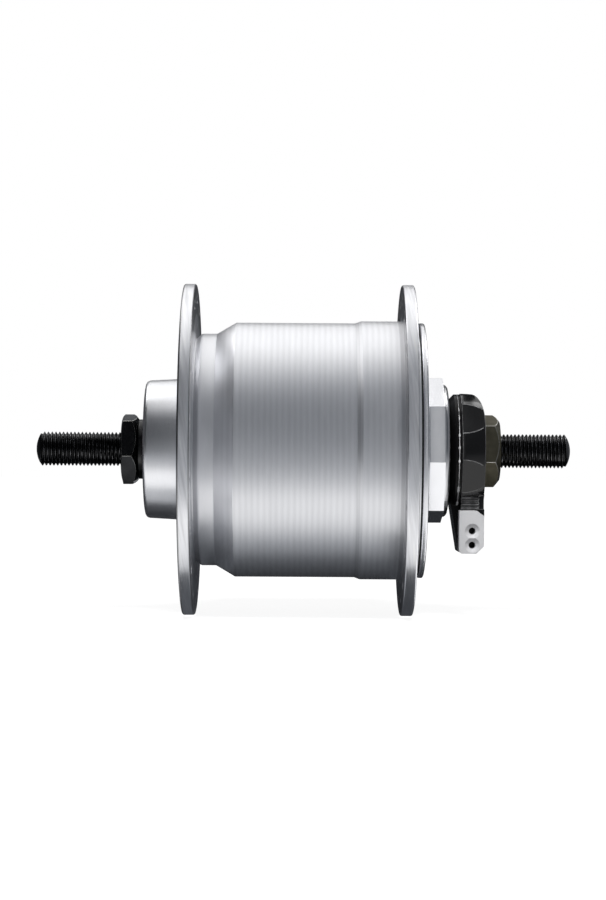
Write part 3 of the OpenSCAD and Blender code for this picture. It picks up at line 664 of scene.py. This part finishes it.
def octagonRing(s):
    bm = bmesh.new()
    sides, inner = s["octagonSides"], s["octagonInner"]
    outer = s["octagonFlats"] / 2 / math.cos(math.pi / sides)
    angles = [math.radians(s["octagonTurn"] + 360 / sides * k) for k in range(sides)]
    left, right = s["octagon"]
    rings = []
    for x, r in ((left, outer), (right, outer), (right, inner), (left, inner)):
        rings.append([
            bm.verts.new((x * mm, r * mm * math.sin(a), -r * mm * math.cos(a))) for a in angles])
    for i, ring in enumerate(rings):
        other = rings[(i + 1) % len(rings)]
        for k in range(sides):
            bm.faces.new((ring[k], ring[k - 1], other[k - 1], other[k]))
    piece = showMesh("octagonRing", bm, finishes["cap_aluminium"])
    bevel = piece.modifiers.new("edges", "BEVEL")
    bevel.width = s["edge"] * mm
    bevel.segments = s["edgeSteps"]
    return settle(piece)


def makeCap(s):
    end, bore = s["mouth"]
    discIn, discOut = s["disc"]
    tip, spigotOut, spigotIn = s["spigot"]
    webIn, webOut, webBore = s["web"]
    outline = [
        (end, bore, 0.1), (end, s["bossRadius"], s["bossEdge"]), (s["octagon"][0], s["bossRadius"], 0),
        (s["octagon"][0], s["neckRadius"], 0), (discOut, s["neckRadius"], 0.15),
        (discOut, s["discRadius"], s["discEdge"]), (discIn, s["discRadius"], s["discEdge"]),
        (discIn, spigotOut, 0), (tip, spigotOut, s["edge"]), (tip, spigotIn, 0), (webIn, spigotIn, 0),
        (webIn, webBore, 0), (webOut, webBore, 0), (webOut, bore, 0),
    ]
    piece = turnedBody("endCap", roundCorners(outline), finishes["cap_aluminium"], s["segments"])
    joinInto(piece, octagonRing(s))
    smoothShade(piece)
    standFor(piece, "end_cap", "shell")


makeCap(capSizes)
print("end cap turned")


# Dishes round the plug's wire holes
plugDishes = {
    "x": 44.4, "z": (-21.0, -24.7), "floor": -9.0, "ring": 1.45, "hole": 0.9,
    "newRing": 1.05, "drop": 0.35, "floorSlack": 0.05, "ringSlack": 0.1,
}


# The floor of each dish goes deeper and its wall reaches further in
def deepenDishes(bm, s):
    for vert in bm.verts:
        for z in s["z"]:
            across = Vector((vert.co.x - s["x"] * mm, vert.co.z - z * mm))
            onFloor = abs(vert.co.y - s["floor"] * mm) < s["floorSlack"] * mm
            if onFloor and across.length < (s["ring"] + s["ringSlack"]) * mm:
                if across.length > (s["hole"] + s["ringSlack"]) * mm:
                    across *= s["newRing"] * mm / across.length
                vert.co = (s["x"] * mm + across.x, vert.co.y + s["drop"] * mm, z * mm + across.y)
                break


flatAngle = 0.5  # faces that meet at less than this become one


# A CAD solid with its edges broken; where the look says so its bevels take a second finish: worn bare
# steel on the nuts, a pale painted highlight on the connector housing
def softenCopy(node, pieceName, body, look):
    bm = bmesh.new()
    bm.from_mesh(nodes[node].data)
    bmesh.ops.remove_doubles(bm, verts=bm.verts, dist=1e-6)
    bmesh.ops.dissolve_limit(
        bm, angle_limit=math.radians(flatAngle), verts=bm.verts, edges=bm.edges)
    if "dishes" in look:
        deepenDishes(bm, look["dishes"])
    piece = showMesh(pieceName, bm, finishes[look.get("finish", finishOf[node])])
    bevel = piece.modifiers.new("edges", "BEVEL")
    bevel.width = look["edge"] * mm
    bevel.segments = look.get("steps", 2)
    bevel.limit_method = "ANGLE"
    bevel.angle_limit = math.radians(look.get("angle", 25))
    bevel.use_clamp_overlap = look.get("clamp", True)
    if "wearAndPaintedHighlight" in look:
        # The bevel faces take the second finish: worn steel on the nuts, painted highlight on the
        # housing
        piece.data.materials.append(finishes[look["wearAndPaintedHighlight"]])
        bevel.material = 1
    settle(piece)
    smoothShade(piece, look.get("sharp", 35))
    standFor(piece, node, body)


nutEdges = {"steps": 1, "sharp": 12, "angle": 50, "wearAndPaintedHighlight": "worn_steel"}
softened = {
    "left_locknut": ("leftLocknut", "axle", dict(nutEdges, edge=0.28)),
    "right_locknut": ("rightLocknut", "axle", dict(nutEdges, edge=0.16)),
    "left_washer": ("leftWasher", "axle", {"edge": 0.15, "finish": "dark_steel"}),
    "connector_back": ("connectorBack", "axle", {
        "edge": 0.1, "clamp": False, "finish": "cover_plastic"}),
    "connector_housing": ("connectorHousing", "axle", {
        "edge": 0.13, "wearAndPaintedHighlight": "edge_highlight_plastic", "clamp": False, "angle": 16}),
    "plug_cap": ("plugCap", "plug", {"edge": 0.1, "clamp": False, "dishes": plugDishes}),
}
for nodeName, (pieceName, bodyName, look) in softened.items():
    softenCopy(nodeName, pieceName, bodyName, look)
print("edges broken on", len(softened), "pieces")


# Thin flash along the seam between the connector's cover and housing, lumpy in places, thinner on top,
# coloured near white as a painted highlight
seamSizes = {
    "station": 40.6, "radius": 15.0, "bead": 0.11, "lump": 3.0, "lumpScale": 420.0,
    "lumpNoise": (0.53, 0.6), "fade": (6.0, 9.0), "fadeTo": 0.35, "segments": 320, "sharpAngle": 60,
}


def seamTree(lumpNoise):
    lengths = ("Station", "Ring Radius", "Bead Radius", "Lump", "Lump Scale",
               "Fade Low", "Fade High", "Fade To")
    others = [("Segments", "Int"), ("Material", "Material")]
    tree, given = startTree("seamFlash", [(name, "Float") for name in lengths] + others)
    ring = addNode(tree, "GeometryNodeCurvePrimitiveCircle", None, {
        "Resolution": given["Segments"], "Radius": given["Ring Radius"]})
    placed = placeOnAxle(tree, ring.outputs[0], given["Station"])
    grain = addNode(tree, "ShaderNodeTexNoise", None, {"Scale": given["Lump Scale"], "Detail": 1.0})
    lumps = {"Value": grain.outputs["Fac"], "From Min": lumpNoise[0], "From Max": lumpNoise[1],
             "To Min": 1.0, "To Max": given["Lump"]}
    swollen = addNode(tree, "ShaderNodeMapRange", None, lumps).outputs["Result"]
    place = addNode(tree, "GeometryNodeInputPosition")
    axes = addNode(tree, "ShaderNodeSeparateXYZ", None, {0: place.outputs[0]}).outputs
    thin = {"Value": axes["Z"], "From Min": given["Fade Low"], "From Max": given["Fade High"],
            "To Min": 1.0, "To Max": given["Fade To"]}
    thinned = addNode(tree, "ShaderNodeMapRange", None, thin).outputs["Result"]
    bead = addNode(tree, "GeometryNodeCurveToMesh", None, {
        "Curve": placed, "Profile Curve": roundSection(tree, given["Bead Radius"]),
        "Scale": mathNode(tree, "MULTIPLY", swollen, thinned)})
    endTree(tree, bead.outputs[0], given["Material"])
    return tree


def makeSeam(s):
    piece = showMesh("connectorSeam", bmesh.new(), finishes["flash_highlight_plastic"])
    runTree(piece, seamTree(s["lumpNoise"]), {
        "Station": s["station"] * mm, "Ring Radius": s["radius"] * mm, "Bead Radius": s["bead"] * mm,
        "Lump": s["lump"], "Lump Scale": s["lumpScale"], "Segments": s["segments"],
        "Fade Low": s["fade"][0] * mm, "Fade High": s["fade"][1] * mm, "Fade To": s["fadeTo"],
        "Material": finishes["flash_highlight_plastic"]})
    smoothShade(piece, s["sharpAngle"])
    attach(piece, "axle")


makeSeam(seamSizes)
print("connector seam laid")


# Coil: the outer layer of wire wound over a plain core
coilSizes = {
    "ends": (-11.77, 5.77), "inner": 12.26, "outer": 22.79, "wire": 0.5, "perTurn": 48, "segments": 96,
}


def windingTree():
    lengths = ("Turns", "Middle Radius", "Length", "Start", "Wire Radius")
    others = [("Per Turn", "Int"), ("Material", "Material")]
    tree, given = startTree("coilWinding", [(name, "Float") for name in lengths] + others)
    helix = addNode(tree, "GeometryNodeCurveSpiral", None, {
        "Resolution": given["Per Turn"], "Rotations": given["Turns"], "Height": given["Length"],
        "Start Radius": given["Middle Radius"], "End Radius": given["Middle Radius"]})
    wire = addNode(tree, "GeometryNodeCurveToMesh", None, {
        "Curve": placeOnAxle(tree, helix.outputs[0], given["Start"]),
        "Profile Curve": roundSection(tree, given["Wire Radius"]), "Fill Caps": True})
    whole = addNode(tree, "GeometryNodeJoinGeometry")
    for part in (wire.outputs[0], given["Geometry"]):
        tree.links.new(part, whole.inputs[0])
    endTree(tree, whole.outputs[0], given["Material"])
    return tree


def makeCoil(s):
    left, right = s["ends"]
    wire, middle = s["wire"] / 2, s["outer"] - s["wire"] / 2
    core = [(left, s["inner"]), (left, middle), (right, middle), (right, s["inner"])]
    piece = turnedBody("coilWound", core, finishes["coil_copper"], s["segments"])
    runTree(piece, windingTree(), {
        "Turns": (right - left) / s["wire"] - 1, "Length": (right - left - s["wire"]) * mm,
        "Middle Radius": middle * mm, "Start": (left + wire) * mm, "Wire Radius": wire * mm,
        "Per Turn": s["perTurn"],
        "Material": finishes["coil_copper"]})
    smoothShade(piece)
    standFor(piece, "coil", "axle")


makeCoil(coilSizes)
print("coil wound")


# Stage: floor, white surround, one soft lamp, and cards that only reflections see
stageSizes = {
    "floorZ": -0.0441, "floorSize": 6.0, "floorColour": (0.3, 0.3, 0.3),
    "floorGlow": (0.92, 1.0), "floorGlowReach": (0.12, 0.6), "skyForLight": 0.14,
    "arcRadius": 0.17, "arcLow": -14.0, "arcHigh": 85.0, "arcSteps": 24, "cardLength": 1.2,
    "cardFeet": ((-0.16, 0.0004), (0.35, 0.0004), (0.4, 0.3)),
    # angle about the axle, level
    "cardLevels": (
        (-230, 0.05), (-150, 0.03), (-110, 0.02), (-90, 0.04), (-75, 0.085), (-60, 0.33),
        (-47, 0.8), (-34, 0.88), (-23, 0.5), (-12, 0.32), (0, 0.25), (12, 0.2),
        (28, 0.19), (44, 0.22), (60, 0.42), (85, 0.92)),
    # name, left, right, low angle, high angle, radius, level
    "strips": (
        ("overhead", -0.6, 0.6, 98, 124, 0.3, 1.1),
        ("bossShade", -0.0575, -0.0415, 14, 54, 0.15, 0.02),
        ("rimFillLow", -0.0405, -0.0335, -14, 12, 0.15, 0.6),
        ("rimFill", -0.0405, -0.0335, 12, 46, 0.15, 0.47),
        ("rimFillHigh", -0.0405, -0.0335, 46, 75, 0.15, 0.6),
        ("octagonFill", 0.0375, 0.0475, -14, 45, 0.15, 0.62),
        ("octagonTop", 0.0375, 0.0475, 80, 140, 0.15, 0.9),
        ("coverShade", 0.0495, 0.0575, -14, 45, 0.15, 0.07),
        ("coverFlag", 0.0495, 0.0575, 45, 84, 0.15, 0.13),
        ("coverTop", 0.052, 0.0575, 94, 112, 0.15, 3.2),
        ("bossGlow", -0.0575, -0.0415, 64, 92, 0.15, 1.35),
        ("coverBack", 0.0515, 0.066, 114, 165, 0.15, 0.02),
        ("leftNutTop", -0.0605, -0.0535, 155, 178, 0.15, 0.36),
        ("rightDark", 0.0585, 0.3, -7, 84, 0.15, 0.13),
        ("rightTop", 0.068, 0.16, 96, 116, 0.15, 4.0),
        ("leftDark", -0.3, -0.056, -7, 84, 0.15, 0.03),
        ("leftTop", -0.11, -0.066, 96, 116, 0.15, 4.0)),
    "sideCards": (("leftSide", -0.25, 0.04), ("rightSide", 0.25, 0.25)),
    "sideReach": (-0.3, 0.3), "sideTop": 0.3,
    # name, left, right, front, back, level
    "floorPatches": (
        ("leftGlow", -0.085, -0.0345, -0.07, -0.03, 1.1),
        ("leftFall", -0.085, -0.0345, -0.03, -0.008, 0.5),
        ("rightGlow", 0.0335, 0.085, -0.05, -0.008, 1.05),
        ("leftShade", -0.034, -0.026, -0.031, 0.03, 0.08),
        ("rightShade", 0.0235, 0.031, -0.033, 0.03, 0.05)),
    "patchRise": 0.0006, "lampPlace": (0, -0.4, 0.5), "lampAim": (0, 0, 0),
    "lampSize": (0.35, 0.15), "lampPower": 4.0,
}


def seenRay(tree):
    path = addNode(tree, "ShaderNodeLightPath").outputs
    seen = mathNode(tree, "MAXIMUM", path["Is Camera Ray"], path["Is Glossy Ray"])
    return mathNode(tree, "MAXIMUM", seen, path["Is Transmission Ray"])


def whiteSurround(level):
    world = bpy.data.worlds.new("whiteSurround")
    world.use_nodes = True
    bpy.context.scene.world = world
    tree = world.node_tree
    inputs = {"Value": seenRay(tree), "To Min": level, "To Max": 1.0}
    strength = addNode(tree, "ShaderNodeMapRange", None, inputs).outputs["Result"]
    background = tree.nodes["Background"]
    background.inputs["Color"].default_value = (1, 1, 1, 1)
    tree.links.new(strength, background.inputs["Strength"])


def addSheet(name, corners, material):
    mesh = bpy.data.meshes.new(name)
    mesh.from_pydata(corners, [], [tuple(range(len(corners)))])
    mesh.materials.append(material)
    sheet = bpy.data.objects.new(name, mesh)
    bpy.context.scene.collection.objects.link(sheet)
    return sheet


def onlyReflected(card):
    card.visible_camera = False
    card.visible_diffuse = False
    card.visible_shadow = False
    card.visible_transmission = False
    card.visible_volume_scatter = False


coolSizes = {"blueMost": 0.13, "redShare": 0.6}


# Dark cards lean to blue, pale ones stay neutral
def coolGrey(level):
    cool = coolSizes["blueMost"] * max(0.0, 1.0 - level) ** 2
    return 1.0 - coolSizes["redShare"] * cool, 1.0, 1.0 + cool


def glowMaterial(name, level):
    material = bpy.data.materials.new(name)
    material.use_nodes = True
    tree = material.node_tree
    tree.nodes.remove(tree.nodes["Principled BSDF"])
    inputs = {"Color": (*coolGrey(level), 1), "Strength": level}
    glow = addNode(tree, "ShaderNodeEmission", None, inputs)
    tree.links.new(glow.outputs[0], tree.nodes["Material Output"].inputs["Surface"])
    return material, tree, glow


# Glowing grey card round the front, under and behind the hub, graded by its angle about the axle; its
# dark levels under and behind the hub are a painted shadow that only reflections see
def greyCard(s):
    path = []
    for i in range(s["arcSteps"] + 1):
        a = math.radians(s["arcHigh"] + (s["arcLow"] - s["arcHigh"]) * i / s["arcSteps"])
        path.append((-s["arcRadius"] * math.cos(a), s["arcRadius"] * math.sin(a)))
    path += [(y, s["floorZ"] + rise) for y, rise in s["cardFeet"]]
    half = s["cardLength"] / 2
    bm = bmesh.new()
    rows = [[bm.verts.new((x, y, z)) for x in (-half, half)] for y, z in path]
    for low, high in zip(rows, rows[1:]):
        bm.faces.new((low[0], low[1], high[1], high[0]))
    material, tree, glow = glowMaterial("greyCard", 1.0)
    axes = addNode(tree, "ShaderNodeSeparateXYZ", None, {0: objectPoint(tree)}).outputs
    angle = mathNode(tree, "ARCTAN2", axes["Z"], mathNode(tree, "MULTIPLY", axes["Y"], -1.0))
    first, last = s["cardLevels"][0][0], s["cardLevels"][-1][0]
    inputs = {0: angle, 1: math.radians(last), 2: math.radians(last - 360)}
    angle = addNode(tree, "ShaderNodeMath", {"operation": "WRAP"}, inputs).outputs[0]
    inputs = {"Value": angle, "From Min": math.radians(first), "From Max": math.radians(last)}
    along = addNode(tree, "ShaderNodeMapRange", None, inputs).outputs["Result"]
    ramp = addNode(tree, "ShaderNodeValToRGB", None, {"Fac": along})
    stops = ramp.color_ramp.elements
    while len(stops) < len(s["cardLevels"]):
        stops.new(0.5)
    # All places come before the colours, because the ramp sorts its stops
    for stop, (degrees, level) in zip(stops, s["cardLevels"]):
        stop.position = (degrees - first) / (last - first)
    for stop, (degrees, level) in zip(stops, s["cardLevels"]):
        stop.color = (*[level * share for share in coolGrey(level)], 1)
    tree.links.new(ramp.outputs["Color"], glow.inputs["Color"])
    card = showMesh("greyCard", bm, material)
    onlyReflected(card)


# Strip along the axle between two angles about it: pale ones light an edge, dark ones shade one
def lightStrip(name, left, right, lowAngle, highAngle, radius, level):
    corners = []
    for x, degrees in ((left, lowAngle), (right, lowAngle), (right, highAngle), (left, highAngle)):
        a = math.radians(degrees)
        corners.append((x, -radius * math.cos(a), radius * math.sin(a)))
    onlyReflected(addSheet(name, corners, glowMaterial(name, level)[0]))


# Upright card across the axle, beside the hub
def sideCard(name, x, level, s):
    front, back = s["sideReach"]
    low, high = s["floorZ"] + s["patchRise"], s["sideTop"]
    corners = [(x, front, low), (x, back, low), (x, back, high), (x, front, high)]
    onlyReflected(addSheet(name, corners, glowMaterial(name, level)[0]))


def addLamp(name, place, aim, size, power):
    lamp = bpy.data.lights.new(name, "AREA")
    lamp.shape = "RECTANGLE"
    lamp.size, lamp.size_y = size
    lamp.energy = power
    holder = bpy.data.objects.new(name, lamp)
    holder.location = place
    holder.rotation_euler = (Vector(aim) - Vector(place)).to_track_quat("-Z", "Y").to_euler()
    bpy.context.scene.collection.objects.link(holder)
    return holder


# Grey paper with a glow of its own, so that it is white to the eye wherever no shadow falls
def floorPaper(s):
    material, tree, glow = glowMaterial("floorPaper", 1.0)
    away = addNode(tree, "ShaderNodeVectorMath", {"operation": "LENGTH"}, {0: objectPoint(tree)})
    near, far = s["floorGlowReach"]
    nearGlow, farGlow = s["floorGlow"]
    inputs = {"Value": away.outputs["Value"], "From Min": near, "From Max": far,
              "To Min": nearGlow, "To Max": farGlow}
    level = addNode(tree, "ShaderNodeMapRange", None, inputs).outputs["Result"]
    tree.links.new(mathNode(tree, "MULTIPLY", level, seenRay(tree)), glow.inputs["Strength"])
    paper = addNode(tree, "ShaderNodeBsdfDiffuse", None, {"Color": (*s["floorColour"], 1)})
    both = addNode(tree, "ShaderNodeAddShader", None, {0: paper.outputs[0], 1: glow.outputs[0]})
    tree.links.new(both.outputs[0], tree.nodes["Material Output"].inputs["Surface"])
    return material


def makeStage(s):
    whiteSurround(s["skyForLight"])
    half, z = s["floorSize"] / 2, s["floorZ"]
    corners = [(-half, -half, z), (half, -half, z), (half, half, z), (-half, half, z)]
    addSheet("floor", corners, floorPaper(s))
    greyCard(s)
    for strip in s["strips"]:
        lightStrip(*strip)
    for name, x, level in s["sideCards"]:
        sideCard(name, x, level, s)
    up = z + s["patchRise"]
    for name, left, right, front, back, level in s["floorPatches"]:
        corners = [(left, front, up), (right, front, up), (right, back, up), (left, back, up)]
        onlyReflected(addSheet(name, corners, glowMaterial(name, level)[0]))
    lamp = addLamp("topSoftbox", s["lampPlace"], s["lampAim"], s["lampSize"], s["lampPower"])
    lamp.visible_glossy = False


makeStage(stageSizes)
print("stage lit")

# Camera: where the photograph was taken from
cameraSizes = {
    "distance": 0.640, "side": -0.00114, "lens": 96.3, "sensor": 36.0, "shift": 0.00444, "roll": -0.33,
}


def makeCamera(s):
    view = bpy.data.cameras.new("photoView")
    view.lens = s["lens"]
    view.sensor_width = s["sensor"]
    view.shift_x = s["shift"]
    holder = bpy.data.objects.new("photoView", view)
    holder.location = (s["side"], -s["distance"], 0)
    holder.rotation_euler = (math.radians(90), math.radians(s["roll"]), 0)
    bpy.context.scene.collection.objects.link(holder)
    bpy.context.scene.camera = holder


makeCamera(cameraSizes)
bpy.context.scene.view_settings.view_transform = "Standard"
